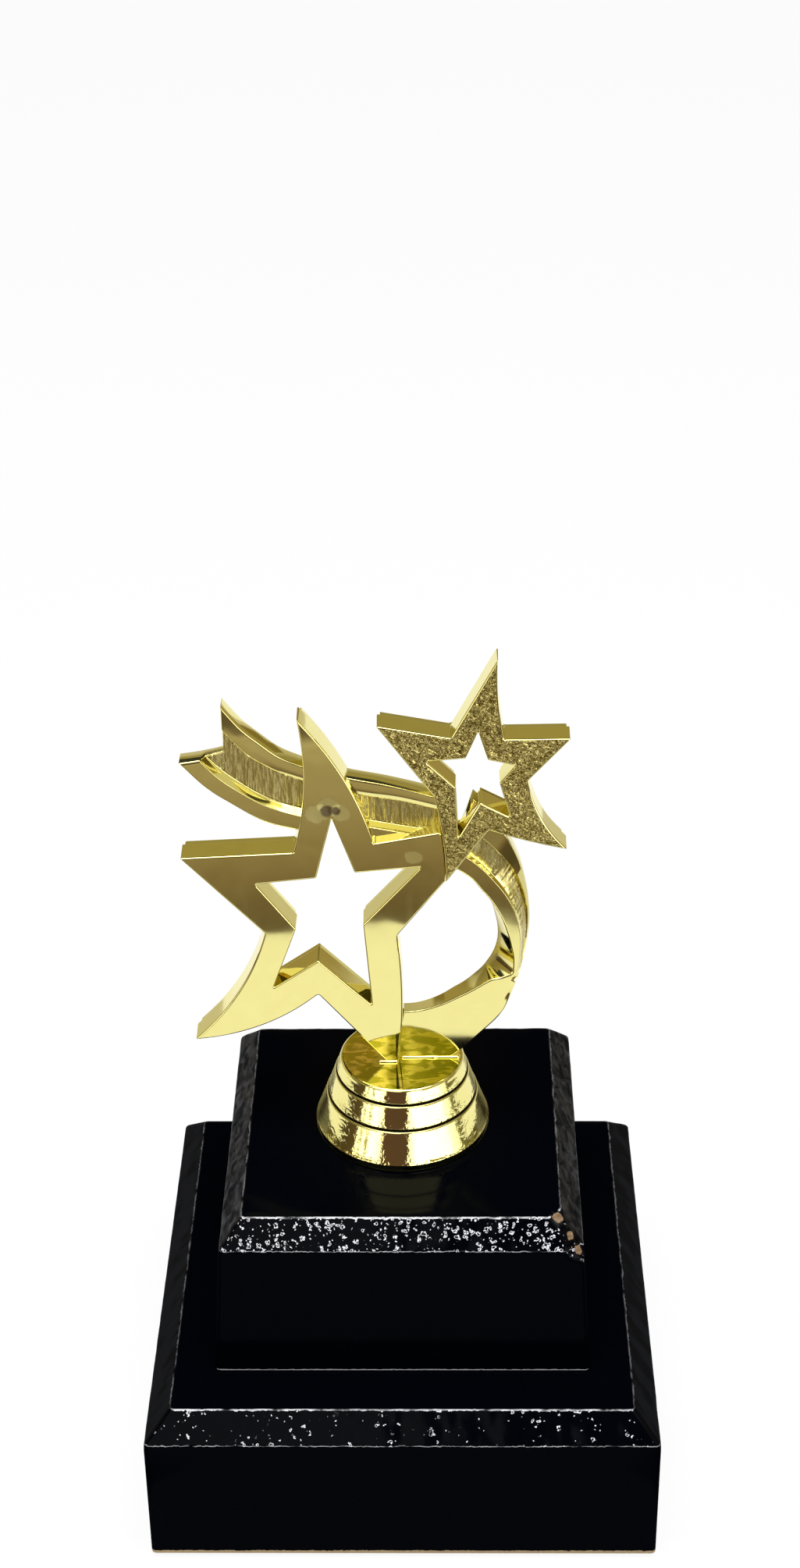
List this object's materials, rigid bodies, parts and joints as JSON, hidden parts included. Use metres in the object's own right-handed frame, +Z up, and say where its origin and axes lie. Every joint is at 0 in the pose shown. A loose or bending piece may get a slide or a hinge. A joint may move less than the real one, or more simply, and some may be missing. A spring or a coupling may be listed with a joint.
{
  "type": "star trophy",
  "caption": "Award trophy: open stars on a curling forked ribbon, standing on a tiered round foot and a stepped base of bevelled lacquered blocks.",
  "frame": {"origin": "middle of the felt's underside, on the surface the trophy stands on", "axes": "+Z up through the lower block's centre; the figure's flat faces look along -Y; +X is to the right as the trophy is seen from the front"},
  "size_m": [0.1, 0.1, 0.1762],
  "materials": {
    "mirror_gold": "vacuum-metallised gold mirror under clear lacquer",
    "hammered_gold": "vacuum-metallised gold over a coarse hammered moulding",
    "black_lacquer": "gloss black lacquer on board",
    "zinc_steel": "bright zinc plated",
    "dark_felt": "self-adhesive felt"
  },
  "bodies": {
    "root": {"lower_block": "black_lacquer", "upper_block": "black_lacquer", "felt_sheet": "dark_felt", "tie_rod": "zinc_steel", "rod_washer": "zinc_steel", "rod_nut": "zinc_steel", "foot_nut": "zinc_steel", "block_screw_left": "zinc_steel", "block_screw_right": "zinc_steel", "figure_foot": "mirror_gold", "big_star_front": "mirror_gold", "big_star_back": "mirror_gold", "small_star_front": "hammered_gold", "small_star_back": "mirror_gold", "comet_tail": "mirror_gold", "comet_band": "mirror_gold", "ribbon_loop": "mirror_gold"}
  },
  "joints": []
}
